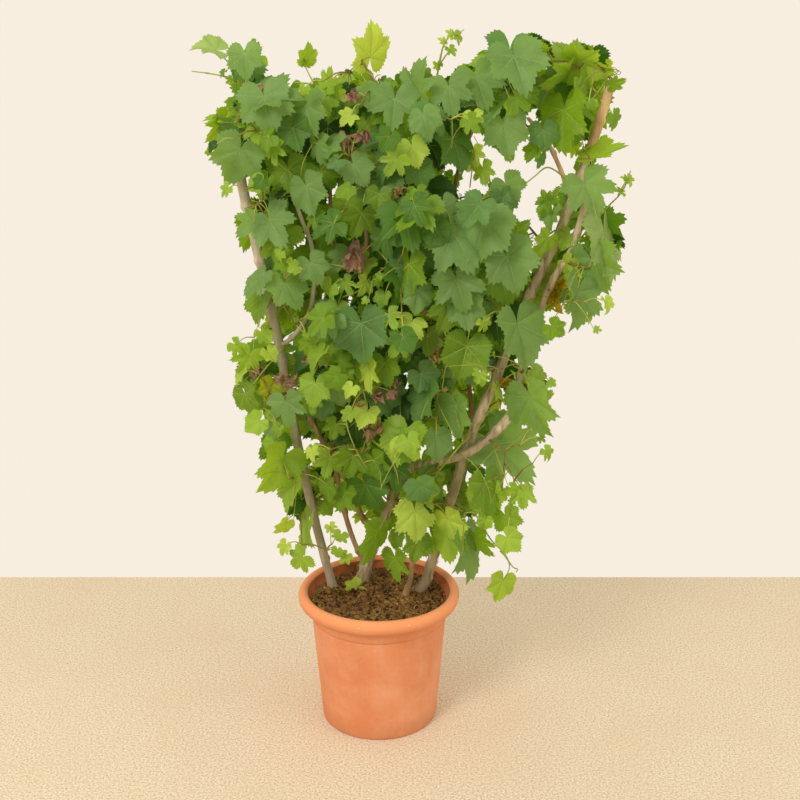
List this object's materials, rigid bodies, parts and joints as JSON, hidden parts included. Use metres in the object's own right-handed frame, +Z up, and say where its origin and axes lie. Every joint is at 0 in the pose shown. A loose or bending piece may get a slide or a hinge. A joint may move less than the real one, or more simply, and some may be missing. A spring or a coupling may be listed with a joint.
{
  "type": "potted grapevine",
  "caption": "Leafy grapevine with old twisted stems, trained flat and broad, in a round clay pot with a rolled rim.",
  "frame": {"origin": "centre of the pot's flat underside, on the surface that it stands on", "axes": "+Z up; X along the vine's broad side, +X to the right as seen from the front; the front faces -Y"},
  "size_m": [0.8624, 0.3929, 1.5095],
  "materials": {
    "clay": "matte",
    "soil": "matte",
    "bark": "matte",
    "cane": "matte",
    "leaf": "matte"
  },
  "bodies": {
    "root": {"pot": "clay", "soil": "soil", "trunk_left": "bark", "trunk_right": "bark", "trunk_centre": "bark", "stem_thin": "bark", "arm_right": "bark", "cane_left_low": "cane", "cane_left_upper": "cane", "cane_mid_left": "cane", "cane_centre": "cane", "cane_inner_right": "cane", "cane_top_right": "cane", "leaves_crest_front_1": "leaf", "leaves_crest_front_2": "leaf", "leaves_crest_front_3": "leaf", "leaves_crest_front_4": "leaf", "leaves_crest_back_1": "leaf", "leaves_crest_back_2": "leaf", "leaves_crest_back_3": "leaf", "leaves_upper_front_1": "leaf", "leaves_upper_front_2": "leaf", "leaves_upper_front_3": "leaf", "leaves_upper_front_4": "leaf", "leaves_upper_back_1": "leaf", "leaves_upper_back_2": "leaf", "leaves_upper_back_3": "leaf", "leaves_middle_front_1": "leaf", "leaves_middle_front_2": "leaf", "leaves_middle_front_3": "leaf", "leaves_middle_front_4": "leaf", "leaves_middle_back_1": "leaf", "leaves_middle_back_2": "leaf", "leaves_middle_back_3": "leaf", "leaves_lower_front_1": "leaf", "leaves_lower_front_2": "leaf", "leaves_lower_front_3": "leaf", "leaves_lower_front_4": "leaf", "leaves_lower_back_1": "leaf", "leaves_lower_back_2": "leaf", "leaves_lower_back_3": "leaf", "leaves_foot_front_1": "leaf", "leaves_foot_front_2": "leaf", "leaves_foot_front_3": "leaf", "leaves_foot_front_4": "leaf", "leaves_foot_back_1": "leaf", "leaves_foot_back_2": "leaf", "leaves_foot_back_3": "leaf"}
  },
  "joints": []
}
